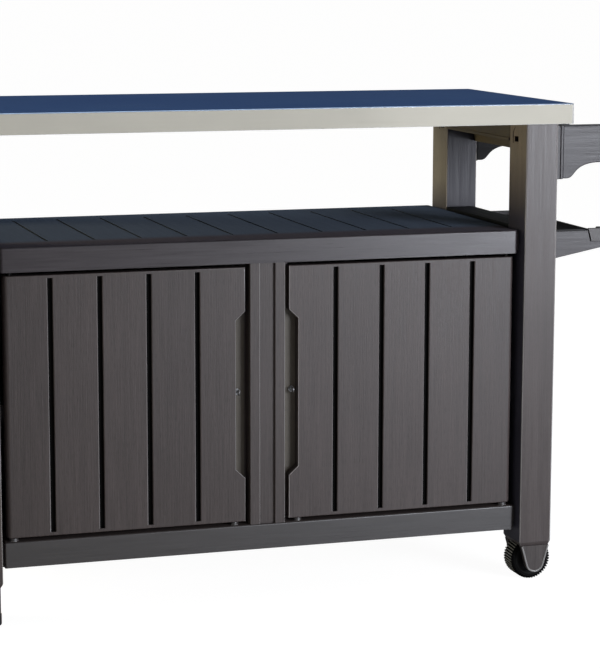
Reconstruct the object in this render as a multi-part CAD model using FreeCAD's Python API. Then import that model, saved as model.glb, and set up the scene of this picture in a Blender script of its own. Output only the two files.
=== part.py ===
import FreeCAD, Part
import math
import os

# Outdoor preparation cart: a steel-topped worktop on four resin box legs, a two-door cabinet
# between the legs, two wheels and a handle with a lift-out bar at the right-hand end.
# Millimetres. +X runs along the cart towards the handle, the doors face -Y, +Z is up.
# The origin is on the floor, under the middle of the whole length, handle included.

# Driving dimensions of the whole cart
height = 900.0
worktop_length = 1149.0
worktop_depth = 520.0
worktop_lip = 37.0
worktop_sheet = 1.2
arm_reach = 197.0

# Legs and the frames between them
leg_width = 64.0
leg_depth = 80.0
leg_wall = 4.0
leg_bottom = 69.0
end_overhang = 21.5
front_overhang = 20.0
leg_rise_into_worktop = 7.0
outer_corner_radius = 5.0
inner_corner_radius = 2.5

# Cabinet
shelf_height = 666.6
shelf_lip = 43.2
floor_height = 145.3
floor_lip = 46.3
lip_setback = 16.7
rail_setback = 18.2
lip_end_gap = 7.0
panel_wall = 4.0
post_width = 65.8
post_setback = 18.7

# Doors
door_gap = 6.6
door_setback = 20.7
door_inner_edge = 41.2
door_outer_edge = 476.3
plank_pitch = 88.24
plank_groove_width = 8.4
plank_arris = 2.0
plank_groove_depth = 7.0
door_skin = 10.0
door_core_depth = 20.0
door_back_thickness = 4.0
hinge_from_middle = 464.0
hinge_pin_radius = 4.0
running_clearance = 0.05

# Wheels and feet
wheel_radius = 39.0
wheel_width = 40.0
axle_radius = 5.0
foot_height = 22.0

# Handle and tray at the right-hand end
arm_setback = 15.0
arm_thickness = 30.0
arm_root_height = 97.5
arm_height = 69.0
arm_top = 857.0
bar_radius = 11.0
bar_pin_radius = 8.0
bar_pin_gap = 0.35
tray_top = 656.6
tray_reach = 130.0
tray_bracket_thickness = 25.0

# Places worked out from the driving dimensions
middle_x = -arm_reach / 2
worktop_bottom = height - worktop_lip
leg_top = worktop_bottom + leg_rise_into_worktop
leg_outer_x = worktop_length / 2 - end_overhang
leg_inner_x = leg_outer_x - leg_width
leg_front_y = -worktop_depth / 2 + front_overhang
leg_back_y = leg_front_y + leg_depth
leg_mid_x = (leg_inner_x + leg_outer_x) / 2
leg_mid_y = (leg_front_y + leg_back_y) / 2
lip_front_y = leg_front_y + lip_setback
rail_front_y = leg_front_y + rail_setback
post_front_y = leg_front_y + post_setback
door_front_y = leg_front_y + door_setback
door_core_y = door_front_y + door_core_depth
door_back_y = door_core_y + door_back_thickness
door_bottom = floor_height + door_gap
door_top = shelf_height - shelf_lip - door_gap
hinge_y = (door_front_y + door_back_y) / 2
arm_front_y = leg_front_y + arm_setback
arm_inner_y = arm_front_y + arm_thickness
bar_x = worktop_length / 2 + arm_reach - arm_height / 2
bar_z = arm_top - arm_height / 2
axle_z = wheel_radius

X_AXIS = FreeCAD.Vector(1, 0, 0)
Y_AXIS = FreeCAD.Vector(0, 1, 0)
Z_AXIS = FreeCAD.Vector(0, 0, 1)


def box(x0, x1, y0, y1, z0, z1):
    """A block between two corners. x is counted from the middle of the worktop."""
    corner = FreeCAD.Vector(middle_x + min(x0, x1), min(y0, y1), min(z0, z1))
    return Part.makeBox(abs(x1 - x0), abs(y1 - y0), abs(z1 - z0), corner)


def rod(radius, length, x, y, z, axis):
    """A round bar that starts at a point and runs along an axis."""
    return Part.makeCylinder(radius, length, FreeCAD.Vector(middle_x + x, y, z), axis)


def prism(outline, y0, y1):
    """An outline in X and Z, carried through from y0 to y1."""
    corners = [FreeCAD.Vector(middle_x + x, y0, z) for x, z in outline]
    wire = Part.makePolygon(corners + corners[:1])
    return Part.Face(wire).extrude(FreeCAD.Vector(0, y1 - y0, 0))


def joined(first, *others):
    """Pieces of one moulding, made into one solid."""
    return first.fuse(list(others)).removeSplitter()


def mirrored_x(shape):
    """The same piece at the other end of the worktop."""
    return shape.mirror(FreeCAD.Vector(middle_x, 0, 0), X_AXIS)


def mirrored_y(shape):
    """The same piece at the back."""
    return shape.mirror(FreeCAD.Vector(0, 0, 0), Y_AXIS)


def upright_edges(shape, x, y):
    """The vertical edges of a shape that stand at one place in plan."""
    found = []
    for edge in shape.Edges:
        ends = [vertex.Point for vertex in edge.Vertexes]
        if len(ends) == 2 and abs(ends[0].z - ends[1].z) > 1:
            if all(abs(p.x - middle_x - x) < 0.01 and abs(p.y - y) < 0.01 for p in ends):
                found.append(edge)
    return found


def round_uprights(shape, corners):
    """Rounds vertical edges, given as (x, y, radius)."""
    for x, y, radius in corners:
        shape = shape.makeFillet(radius, upright_edges(shape, x, y))
    return shape


def level_edges(shape, z):
    """The edges of a shape that lie wholly at one height."""
    return [edge for edge in shape.Edges if all(abs(v.Point.z - z) < 0.01 for v in edge.Vertexes)]


def save(name, shape):
    """Writes one sub-part under its name."""
    shape.exportStep("parts/%s.step" % name)


# Worktop

def worktop_skin():
    """Stainless sheet folded down on four sides and hemmed inwards along the bottom."""
    hem = 10.0
    fold_radius = 5.0
    half_x = worktop_length / 2
    half_y = worktop_depth / 2
    outside = box(-half_x, half_x, -half_y, half_y, worktop_bottom, height)
    corners = [(sx * half_x, sy * half_y, fold_radius) for sx in (-1, 1) for sy in (-1, 1)]
    outside = round_uprights(outside, corners)
    outside = outside.makeFillet(2.0, level_edges(outside, height))
    in_x = half_x - worktop_sheet
    in_y = half_y - worktop_sheet
    inside = box(-in_x, in_x, -in_y, in_y, worktop_bottom + worktop_sheet, height - worktop_sheet)
    corners = [(sx * in_x, sy * in_y, fold_radius - worktop_sheet) for sx in (-1, 1) for sy in (-1, 1)]
    inside = round_uprights(inside, corners)
    mouth = box(-half_x + hem, half_x - hem, -half_y + hem, half_y - hem,
                worktop_bottom - 1, worktop_bottom + 2 * worktop_sheet)
    return outside.cut(inside).cut(mouth)


screw_radius = 2.5
screw_head_radius = 5.0
screw_head_height = 3.0
worktop_screw_ys = (-120.0, -40.0, 40.0, 120.0)
apron_top_plate = 4.0


def worktop_core():
    """Moulded deck under the steel, with a grid of ribs and a boxed strip over each leg frame."""
    fit_gap = 0.5
    corner = 3.5
    deck = 4.0
    wall = 4.0
    rib = 3.0
    boss = 9.0
    half_x = worktop_length / 2 - worktop_sheet - fit_gap
    half_y = worktop_depth / 2 - worktop_sheet - fit_gap
    top = height - worktop_sheet
    bottom = worktop_bottom + worktop_sheet + fit_gap
    core = box(-half_x, half_x, -half_y, half_y, bottom, top)
    core = round_uprights(core, [(sx * half_x, sy * half_y, corner) for sx in (-1, 1) for sy in (-1, 1)])
    core = core.cut(box(-half_x + wall, half_x - wall, -half_y + wall, half_y - wall,
                        bottom - 1, top - deck))
    ribs = []
    for x in range(-425, 426, 85):
        ribs.append(box(x - rib / 2, x + rib / 2, -half_y + 1, half_y - 1, leg_top, top - 1))
    for y in (-170, -85, 0, 85, 170):
        ribs.append(box(-half_x + 1, half_x - 1, y - rib / 2, y + rib / 2, leg_top, top - 1))
    for side in (-1, 1):
        for x in (leg_inner_x, leg_outer_x - wall):
            ribs.append(box(side * x, side * (x + wall), leg_front_y, -leg_front_y, leg_top, top - 1))
        for y in (leg_front_y, leg_back_y - wall):
            for s in (-1, 1):
                ribs.append(box(side * leg_inner_x, side * leg_outer_x, s * y, s * (y + wall),
                                leg_top, top - 1))
        for y in worktop_screw_ys:
            ribs.append(rod(boss, top - 1 - leg_top, side * leg_mid_x, y, leg_top, Z_AXIS))
    core = joined(core, *ribs)
    for side in (-1, 1):
        for y in worktop_screw_ys:
            core = core.cut(rod(screw_radius, 16, side * leg_mid_x, y, leg_top - 1, Z_AXIS))
    return core


def worktop_screws():
    """Eight screws that hold the leg frames up to the worktop, driven from below."""
    screws = []
    seat = leg_top - apron_top_plate
    for side in (-1, 1):
        for y in worktop_screw_ys:
            head = rod(screw_head_radius, screw_head_height, side * leg_mid_x, y,
                       seat - screw_head_height, Z_AXIS)
            shank = rod(screw_radius, 18, side * leg_mid_x, y, seat - 1, Z_AXIS)
            screws.append(joined(head, shank))
    return Part.makeCompound(screws)


# Leg frames

arm_bolt_heights = (783.0, 835.0)
arm_bolt_y = arm_front_y + arm_thickness / 2
arm_bolt_radius = 3.0


def leg_plan(inset, z):
    """Outline of a right-hand front leg at one height, drawn in by an inset."""
    x0 = leg_inner_x + inset
    x1 = leg_outer_x - inset
    y0 = leg_front_y + inset
    y1 = leg_back_y - inset
    slab = box(x0, x1, y0, y1, z, z + 10)
    small = max(inner_corner_radius - inset, 0.8)
    slab = round_uprights(slab, [(x1, y0, outer_corner_radius - inset), (x1, y1, small),
                                 (x0, y0, small), (x0, y1, small)])
    return [face for face in slab.Faces if face.BoundBox.ZMax < z + 0.01][0]


def leg_body():
    """A right-hand front leg: a hollow box with a soft outer corner, open at the bottom."""
    bevel_in = 3.8
    bevel_up = 7.0
    start = leg_bottom + bevel_up
    shaft = leg_plan(0.0, start).extrude(FreeCAD.Vector(0, 0, leg_top - start))
    ends = [leg_plan(bevel_in, leg_bottom).OuterWire, leg_plan(0.0, start).OuterWire]
    body = joined(shaft, Part.makeLoft(ends, True, True))
    hollow = box(leg_inner_x + leg_wall, leg_outer_x - leg_wall,
                 leg_front_y + leg_wall, leg_back_y - leg_wall,
                 leg_bottom - 1, leg_top - leg_wall)
    body = body.cut(hollow)
    return body.cut(joined(*leg_slot()))


def leg_slot():
    """The latch window in the leg's inner side, in a shallow arched surround."""
    window_y = leg_mid_y + 10.0
    window_half = 9.0
    window_bottom = 827.0
    window_height = 10.0
    surround_depth = 1.2
    surround_half = 14.0
    window = box(leg_inner_x - 1, leg_inner_x + leg_wall + 1,
                 window_y - window_half, window_y + window_half,
                 window_bottom, window_bottom + window_height)
    surround = box(leg_inner_x - 1, leg_inner_x + surround_depth,
                   window_y - surround_half, window_y + surround_half,
                   window_bottom - 3, window_bottom + window_height + 3)
    arch = rod(surround_half, surround_depth + 1, leg_inner_x - 1, window_y,
               window_bottom + window_height + 3, X_AXIS)
    return window, surround, arch


def leg_right_front():
    """Carries a handle arm and a tray bracket, so two bolts and two screws pass through its outer side."""
    leg = leg_body()
    start = leg_outer_x - leg_wall - 1
    for z in arm_bolt_heights:
        leg = leg.cut(rod(arm_bolt_radius, leg_wall + 2, start, arm_bolt_y, z, X_AXIS))
    for z in tray_screw_heights:
        leg = leg.cut(rod(tray_screw_radius, leg_wall + 2, start, tray_screw_y, z, X_AXIS))
    return leg


def apron_right():
    """Channel under the worktop that joins the front and back legs, deeper on its outer side."""
    wall = 3.5
    outer_x = leg_outer_x - 2.0
    inner_bottom = 827.0
    outer_bottom = 802.0
    bead = 5.0
    top_plate = box(leg_inner_x, outer_x, leg_back_y, -leg_back_y, leg_top - apron_top_plate, leg_top)
    inner_wall = box(leg_inner_x, leg_inner_x + wall, leg_back_y, -leg_back_y, inner_bottom, leg_top)
    inner_bead = box(leg_inner_x - 2, leg_inner_x + wall + 3, leg_back_y, -leg_back_y,
                     inner_bottom, inner_bottom + bead)
    outer_wall = box(outer_x - wall, outer_x, leg_back_y, -leg_back_y, outer_bottom, leg_top)
    ribs = [box(leg_inner_x + 1, outer_x - 1, y - 1.5, y + 1.5, inner_bottom + bead, leg_top - 1)
            for y in (-80.0, 0.0, 80.0)]
    apron = joined(top_plate, inner_wall, inner_bead, outer_wall, *ribs)
    for y in worktop_screw_ys:
        apron = apron.cut(rod(screw_radius, 10, leg_mid_x, y, leg_top - apron_top_plate - 2, Z_AXIS))
    return apron


side_rail_outer_x = leg_outer_x - 6.0
side_rail_top = shelf_height + 3.9
side_rail_bottom = 612.0


def channel_rail_right(bottom, top):
    """A rail between the legs of one end: a channel that is open downwards."""
    outside = box(leg_inner_x, side_rail_outer_x, leg_back_y, -leg_back_y, bottom, top)
    hollow = box(leg_inner_x + panel_wall, side_rail_outer_x - panel_wall,
                 leg_back_y + panel_wall, -leg_back_y - panel_wall, bottom - 1, top - panel_wall)
    rail = outside.cut(hollow)
    long_edges = [edge for edge in level_edges(rail, top) if edge.Length > leg_depth * 2]
    return rail.makeFillet(2.0, long_edges)


def side_panel_right():
    """Cabinet end wall between the legs, with three plank grooves on its outer face."""
    thickness = 8.0
    groove_depth = 4.0
    edge_inset = 4.0
    outer_x = side_rail_outer_x - 5.0
    panel = box(outer_x - thickness, outer_x, leg_back_y, -leg_back_y, floor_height, side_rail_bottom)
    pitch = -2 * leg_back_y / 4
    for k in (-1, 0, 1):
        y = k * pitch
        panel = panel.cut(box(outer_x - groove_depth, outer_x + 1,
                              y - plank_groove_width / 2, y + plank_groove_width / 2,
                              floor_height + edge_inset, side_rail_bottom - edge_inset))
    return panel


# Cabinet

shelf_plank_pitch = 85.0
shelf_groove_xs = [shelf_plank_pitch * (k + 0.5) for k in range(-5, 5)]
rib_drop = 20.0
boss_radius = 9.0
pin_in_shelf = 13.0
nub_height = 6.25


def cabinet_board(front_y, back_y, bottom, top, corner, tongue_bottom):
    """A board with a deep lip all round, hollow from below, with a sunk tongue at each end."""
    half_x = leg_inner_x - lip_end_gap
    tongue_setback = 12.0
    board = box(-half_x, half_x, front_y, back_y, bottom, top)
    board = round_uprights(board, [(sx * half_x, y, corner) for sx in (-1, 1) for y in (front_y, back_y)])
    board = board.makeFillet(3.0, level_edges(board, top))
    hollow = box(-half_x + panel_wall, half_x - panel_wall,
                 front_y + panel_wall, back_y - panel_wall, bottom - 1, top - panel_wall)
    board = board.cut(hollow)
    tongues = [box(side * (half_x - 1), side * leg_inner_x, front_y + tongue_setback,
                   back_y - tongue_setback, tongue_bottom, top - 4) for side in (-1, 1)]
    ribs = [box(x - 1.5, x + 1.5, front_y + 1, back_y - 1, top - panel_wall - rib_drop, top - 1)
            for x in (-380.0, -190.0, -95.0, 95.0, 190.0, 380.0)]
    ribs += [box(-half_x + 1, half_x - 1, y - 1.5, y + 1.5, top - panel_wall - rib_drop, top - 1)
             for y in (-75.0, 75.0)]
    return joined(board, *(tongues + ribs))


def cabinet_top():
    """The open shelf over the cabinet, grooved into planks, with the upper hinge bosses inside."""
    groove_width = 5.0
    groove_depth = 1.5
    field_front = -142.0
    field_back = 190.0
    bottom = shelf_height - shelf_lip
    board = cabinet_board(lip_front_y, -leg_front_y, bottom, shelf_height, 6.0, bottom + 4)
    for x in shelf_groove_xs:
        board = board.cut(box(x - groove_width / 2, x + groove_width / 2, field_front, field_back,
                              shelf_height - groove_depth, shelf_height + 1))
    bosses = [rod(boss_radius, shelf_height - bottom - 2, side * hinge_from_middle, hinge_y, bottom + 1, Z_AXIS)
              for side in (-1, 1)]
    board = joined(board, *bosses)
    for side in (-1, 1):
        board = board.cut(rod(hinge_pin_radius + running_clearance, pin_in_shelf + 3,
                              side * hinge_from_middle, hinge_y, bottom - 1, Z_AXIS))
    return board


def cabinet_floor():
    """The cabinet's bottom with the front rail as its lip, the lower hinge bosses and rest nubs."""
    rest_nub_radius = 8.0
    rest_nub_x = 60.0
    boss_drop = 24.0
    bottom = floor_height - floor_lip
    board = cabinet_board(rail_front_y, -rail_front_y, bottom, floor_height, 3.0, bottom)
    added = []
    for side in (-1, 1):
        added.append(rod(boss_radius, boss_drop, side * hinge_from_middle, hinge_y,
                         floor_height - boss_drop + 1, Z_AXIS))
        for x, radius in ((hinge_from_middle, boss_radius), (rest_nub_x, rest_nub_radius)):
            nub = rod(radius, nub_height + 1, side * x, hinge_y, floor_height - 1, Z_AXIS)
            added.append(nub.makeFillet(2.5, level_edges(nub, floor_height + nub_height)))
    board = joined(board, *added)
    for side in (-1, 1):
        board = board.cut(rod(hinge_pin_radius + running_clearance, 30,
                              side * hinge_from_middle, hinge_y, floor_height - 18, Z_AXIS))
    return board


def back_panel():
    """Cabinet back, grooved into planks on its outer face, let into the shelf above."""
    thickness = 5.0
    inner_y = -leg_front_y - 35.0
    groove_depth = 2.0
    top = shelf_height - shelf_lip
    panel = box(-leg_inner_x, leg_inner_x, inner_y, inner_y + thickness, floor_height, top)
    tab_half = leg_inner_x - lip_end_gap - panel_wall - 2
    tab = box(-tab_half, tab_half, inner_y, inner_y + thickness, top - 1,
              shelf_height - panel_wall - rib_drop)
    panel = joined(panel, tab)
    for x in shelf_groove_xs:
        panel = panel.cut(box(x - 3, x + 3, inner_y + thickness - groove_depth, inner_y + thickness + 1,
                              floor_height + 6, top - 6))
    return panel


def centre_post():
    """Front post with a sunk channel down its middle and flanges that the doors close against."""
    wall = 3.0
    half = post_width / 2
    channel_half = 14.0
    channel_depth = 5.0
    flange = 12.8
    back_y = door_back_y + 3.3
    bottom = floor_height
    top = shelf_height - shelf_lip
    floor_y = post_front_y + channel_depth
    pieces = []
    for side in (-1, 1):
        pieces.append(box(side * channel_half, side * half, post_front_y, post_front_y + wall, bottom, top))
        pieces.append(box(side * channel_half, side * (channel_half + wall), post_front_y, floor_y + wall,
                          bottom, top))
        pieces.append(box(side * (half - wall), side * half, post_front_y, back_y + wall, bottom, top))
        pieces.append(box(side * (half - wall), side * (half + flange), back_y, back_y + wall, bottom, top))
    pieces.append(box(-channel_half - wall, channel_half + wall, floor_y, floor_y + wall,
                      bottom, shelf_height - panel_wall - rib_drop))
    post = joined(*pieces)
    edges = []
    for side in (-1, 1):
        edges += upright_edges(post, side * half, post_front_y)
        edges += upright_edges(post, side * channel_half, post_front_y)
    return post.makeFillet(1.4, edges)


inner_shelf_top = 385.0
inner_shelf_rim = 16.0
inner_shelf_back_y = 198.0
inner_shelf_front_y = -183.0


def interior_shelf():
    """The loose shelf inside the cabinet, stiffened by a rim and ribs below."""
    half_x = leg_inner_x - 5.0
    wall = 3.5
    shelf = box(-half_x, half_x, inner_shelf_front_y, inner_shelf_back_y,
                inner_shelf_top - inner_shelf_rim, inner_shelf_top)
    shelf = shelf.cut(box(-half_x + wall, half_x - wall, inner_shelf_front_y + wall, inner_shelf_back_y - wall,
                          inner_shelf_top - inner_shelf_rim - 1, inner_shelf_top - wall))
    ribs = [box(x - 1.5, x + 1.5, inner_shelf_front_y + 1, inner_shelf_back_y - 1,
                inner_shelf_top - inner_shelf_rim, inner_shelf_top - 1) for x in (-240.0, 0.0, 240.0)]
    return joined(shelf, *ribs)


def shelf_cleats():
    """Six small brackets on the legs, the post and the back that the interior shelf rests on."""
    height_of_cleat = 12.0
    top = inner_shelf_top - inner_shelf_rim
    bottom = top - height_of_cleat
    reach = 16.0
    post_back = door_back_y + 3.3 + 3.0
    back_inner_y = -leg_front_y - 35.0
    cleats = []
    for side in (-1, 1):
        cleats.append(box(side * (leg_inner_x - reach), side * leg_inner_x, inner_shelf_front_y, leg_back_y - 5,
                          bottom, top))
        cleats.append(box(side * (leg_inner_x - reach), side * leg_inner_x, -leg_back_y + 5,
                          inner_shelf_back_y, bottom, top))
    cleats.append(box(-44, 44, post_back, post_back + reach, bottom, top))
    cleats.append(box(-30, 30, back_inner_y - reach, back_inner_y, bottom, top))
    return Part.makeCompound(cleats)


# Doors

grip_top = 537.0
grip_bottom = 232.4
grip_depth = 17.4
grip_chamfer = 16.0
hinge_block = 32.0
door_screw_places = [(x, z) for x in (75.0, 258.0, 440.0) for z in (200.0, 570.0)]


def door_outline(inset):
    """Door shape seen from the front, with the finger notch in its inner edge."""
    left = door_inner_edge + inset
    right = door_outer_edge - inset
    bottom = door_bottom + inset
    top = door_top - inset
    notch = door_inner_edge + grip_depth + inset
    slack = 0.4 * inset
    return [
        (left, bottom), (right, bottom), (right, top), (left, top),
        (left, grip_top + slack), (notch, grip_top - grip_chamfer + slack),
        (notch, grip_bottom + grip_chamfer - slack), (left, grip_bottom - slack),
    ]


def door_front_right():
    """Door leaf: five planks in one moulding, with rounded arrises, a rolled outer edge and hinge corners."""
    outline = door_outline(0.0)
    leaf = prism(outline, door_front_y, door_core_y)
    leaf = round_uprights(leaf, [(door_outer_edge, door_front_y, 8.0)])
    leaf = leaf.makeFillet(1.6, [edge for edge in leaf.Edges
                                 if all(abs(v.Point.y - door_front_y) < 0.01 for v in edge.Vertexes)
                                 and edge.BoundBox.XMax < middle_x + door_outer_edge - 7.9
                                 and edge.BoundBox.YLength < 0.01])
    leaf = leaf.cut(prism(door_outline(4.0), door_front_y + door_skin, door_core_y + 1))
    blocks = [box(door_outer_edge - hinge_block + 10, door_outer_edge - 3, door_front_y + door_skin - 1,
                  door_core_y, z, z + hinge_block) for z in (door_bottom, door_top - hinge_block)]
    leaf = joined(leaf, *blocks)
    for k in (1, 2, 3, 4):
        x = door_inner_edge + k * plank_pitch
        leaf = leaf.cut(box(x - plank_groove_width / 2, x + plank_groove_width / 2,
                            door_front_y - 1, door_front_y + plank_groove_depth,
                            door_bottom + 6.3, door_top - 5.3))
        sides = upright_edges(leaf, x - plank_groove_width / 2, door_front_y)
        sides += upright_edges(leaf, x + plank_groove_width / 2, door_front_y)
        leaf = leaf.makeFillet(plank_arris, sides)
    for z in (door_bottom - 1, door_top - hinge_block + 2):
        leaf = leaf.cut(rod(hinge_pin_radius, hinge_block - 1, hinge_from_middle, hinge_y, z, Z_AXIS))
    return leaf


def door_back_right():
    """Inner skin of the door, which also closes the finger notch from behind."""
    inset = 2.0
    edge_overlap = 3.2
    rib_height = 2.0
    back = box(door_inner_edge - edge_overlap, door_outer_edge - inset - 2, door_core_y, door_back_y,
               door_bottom + inset, door_top - inset)
    ribs = [box(door_inner_edge + 30, door_outer_edge - 35, door_back_y - 1, door_back_y + rib_height,
                z - 4, z + 4) for z in (225.0, 385.0, 545.0)]
    back = joined(back, *ribs)
    for x, z in door_screw_places:
        back = back.cut(rod(1.8, 10, x, door_core_y - 2, z, Y_AXIS))
    return back


def door_screws_right():
    """Six screws through the inner skin."""
    screws = []
    for x, z in door_screw_places:
        head = rod(3.6, 1.8, x, door_back_y, z, Y_AXIS)
        shank = rod(1.8, door_back_thickness + 1, x, door_core_y, z, Y_AXIS)
        screws.append(joined(head, shank))
    return Part.makeCompound(screws)


def hinge_pins_right():
    """Upper and lower steel hinge pins, fixed in the door and turning in the cabinet bosses."""
    lower_start = floor_height - 17.0
    lower = rod(hinge_pin_radius, door_bottom + hinge_block - 2 - lower_start,
                hinge_from_middle, hinge_y, lower_start, Z_AXIS)
    upper_start = door_top - hinge_block + 2
    upper = rod(hinge_pin_radius, shelf_height - shelf_lip + pin_in_shelf - upper_start,
                hinge_from_middle, hinge_y, upper_start, Z_AXIS)
    return Part.makeCompound([lower, upper])


def lock_eye_right():
    """Padlock eye in the finger recess: a flange, a stem and a ring."""
    x = door_inner_edge + 9.8
    z = (door_bottom + door_top) / 2 + 4.0
    flange = rod(5.5, 1.5, x, door_core_y - 1.5, z, Y_AXIS)
    stem = rod(2.4, 5.5, x, door_core_y - 6.5, z, Y_AXIS)
    centre = FreeCAD.Vector(middle_x + x, door_core_y - 10.3, z)
    ring = Part.makeTorus(4.2, 1.6, centre, X_AXIS)
    return joined(flange, stem, ring)


# Wheels and feet

wheel_gap = 1.0
hub_radius = 30.0


def tyre():
    """Hard tread ring of the front wheel, cut with slanted grooves."""
    grooves = 32
    depth = 1.6
    width = 2.6
    lean = 24.0
    front = leg_mid_y - wheel_width / 2
    ring = rod(wheel_radius, wheel_width, leg_mid_x, front, axle_z, Y_AXIS)
    ring = ring.makeChamfer(2.0, ring.Edges[0:1] + ring.Edges[2:3])
    ring = ring.cut(rod(hub_radius, wheel_width + 2, leg_mid_x, front - 1, axle_z, Y_AXIS))
    cutter = Part.makeBox(width, wheel_width * 1.6, depth * 2,
                          FreeCAD.Vector(-width / 2, -wheel_width * 0.8, wheel_radius - depth))
    cutter.rotate(FreeCAD.Vector(0, 0, 0), Z_AXIS, lean)
    cutters = []
    for k in range(grooves):
        one = cutter.copy()
        one.rotate(FreeCAD.Vector(0, 0, 0), Y_AXIS, 360.0 * k / grooves)
        one.translate(FreeCAD.Vector(middle_x + leg_mid_x, leg_mid_y, axle_z))
        cutters.append(one)
    return ring.cut(cutters)


def hub():
    """Dished wheel body with a long boss that turns on the axle."""
    front = leg_mid_y - wheel_width / 2
    dish = 5.0
    boss = 10.0
    boss_length = leg_depth - 2 * tongue_thickness - 2 * wheel_gap
    body = rod(hub_radius, wheel_width, leg_mid_x, front, axle_z, Y_AXIS)
    for y in (front - 1, front + wheel_width - dish):
        body = body.cut(rod(hub_radius - 4, dish + 1, leg_mid_x, y, axle_z, Y_AXIS))
    body = joined(body, rod(boss, boss_length, leg_mid_x, leg_mid_y - boss_length / 2, axle_z, Y_AXIS))
    return body.cut(rod(axle_radius + running_clearance, boss_length + 2, leg_mid_x,
                        leg_mid_y - boss_length / 2 - 1, axle_z, Y_AXIS))


tongue_thickness = 12.0
axle_socket = 7.0


def axle():
    """Steel axle pin held in blind sockets of the fork's two tongues."""
    start = leg_front_y + tongue_thickness - axle_socket
    return rod(axle_radius, leg_depth - 2 * (tongue_thickness - axle_socket), leg_mid_x, start, axle_z, Y_AXIS)


def tongue(front_y):
    """A tapered plate with a round end that hangs beside the wheel."""
    half_top = 28.0
    end_radius = 18.0
    end_z = 35.4
    edge = 1.6
    spread = math.atan2(half_top, leg_bottom - end_z)
    reach = math.hypot(half_top, leg_bottom - end_z)
    angle = spread + math.acos(end_radius / reach) - math.pi / 2
    touch_x = end_radius * math.cos(angle)
    touch_z = end_z - end_radius * math.sin(angle)
    points = [FreeCAD.Vector(middle_x + leg_mid_x + x, front_y, z) for x, z in (
        (half_top, leg_bottom), (touch_x, touch_z), (0.0, end_z - end_radius),
        (-touch_x, touch_z), (-half_top, leg_bottom))]
    wire = Part.Wire([
        Part.LineSegment(points[0], points[1]).toShape(),
        Part.Arc(points[1], points[2], points[3]).toShape(),
        Part.LineSegment(points[3], points[4]).toShape(),
        Part.LineSegment(points[4], points[0]).toShape(),
    ])
    plate = Part.Face(wire).extrude(FreeCAD.Vector(0, tongue_thickness, 0))
    rim = [e for e in plate.Edges if e.BoundBox.YLength < 0.01 and e.BoundBox.ZMin < leg_bottom - 0.5]
    return plate.makeChamfer(edge, rim)


def fork_cap():
    """End cap of a wheeled leg: a plug inside the leg, a roof over the wheel and two tongues."""
    plug_wall = tongue_thickness - leg_wall
    plug_top = 112.0
    roof_bottom = 81.0
    roof = 5.0
    x0 = leg_inner_x + leg_wall
    x1 = leg_outer_x - leg_wall
    y0 = leg_front_y + leg_wall
    y1 = leg_back_y - leg_wall
    pieces = [tongue(leg_front_y), tongue(leg_back_y - tongue_thickness)]
    pieces.append(box(x0, x1, y0, y0 + plug_wall, leg_bottom - 1, plug_top))
    pieces.append(box(x0, x1, y1 - plug_wall, y1, leg_bottom - 1, plug_top))
    pieces.append(box(x0, x1, y0 + 1, y1 - 1, roof_bottom, roof_bottom + roof))
    pieces.append(box(x0, x0 + 3, y0 + 1, y1 - 1, roof_bottom, plug_top))
    pieces.append(box(x1 - 3, x1, y0 + 1, y1 - 1, roof_bottom, plug_top))
    cap = joined(*pieces)
    start = leg_front_y + tongue_thickness - axle_socket
    return cap.cut(rod(axle_radius, leg_depth - 2 * (tongue_thickness - axle_socket),
                       leg_mid_x, start, axle_z, Y_AXIS))


def foot_cap():
    """End cap of a standing leg: a hollow plug that carries the foot pad below the leg."""
    wall = 4.0
    plug_top = 110.0
    x0 = leg_inner_x + leg_wall
    x1 = leg_outer_x - leg_wall
    y0 = leg_front_y + leg_wall
    y1 = leg_back_y - leg_wall
    cap = box(x0, x1, y0, y1, foot_height, plug_top)
    cap = round_uprights(cap, [(x, y, 3.0) for x in (x0, x1) for y in (y0, y1)])
    return cap.cut(box(x0 + wall, x1 - wall, y0 + wall, y1 - wall, foot_height + wall, plug_top + 1))


def foot_pad():
    """Soft pad under a standing leg, a little wider than the stem it is pressed on."""
    proud = 1.6
    x0 = leg_inner_x + leg_wall - proud
    x1 = leg_outer_x - leg_wall + proud
    y0 = leg_front_y + leg_wall - proud
    y1 = leg_back_y - leg_wall + proud
    pad = box(x0, x1, y0, y1, 0, foot_height)
    pad = round_uprights(pad, [(x, y, 8.0) for x in (x0, x1) for y in (y0, y1)])
    pad = pad.makeFillet(4.0, level_edges(pad, 0))
    return pad.makeFillet(1.5, level_edges(pad, foot_height))


# Handle

socket_end_x = leg_outer_x + 17.0
arm_root_bottom = arm_top - arm_root_height
joint_groove = 1.2


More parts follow.
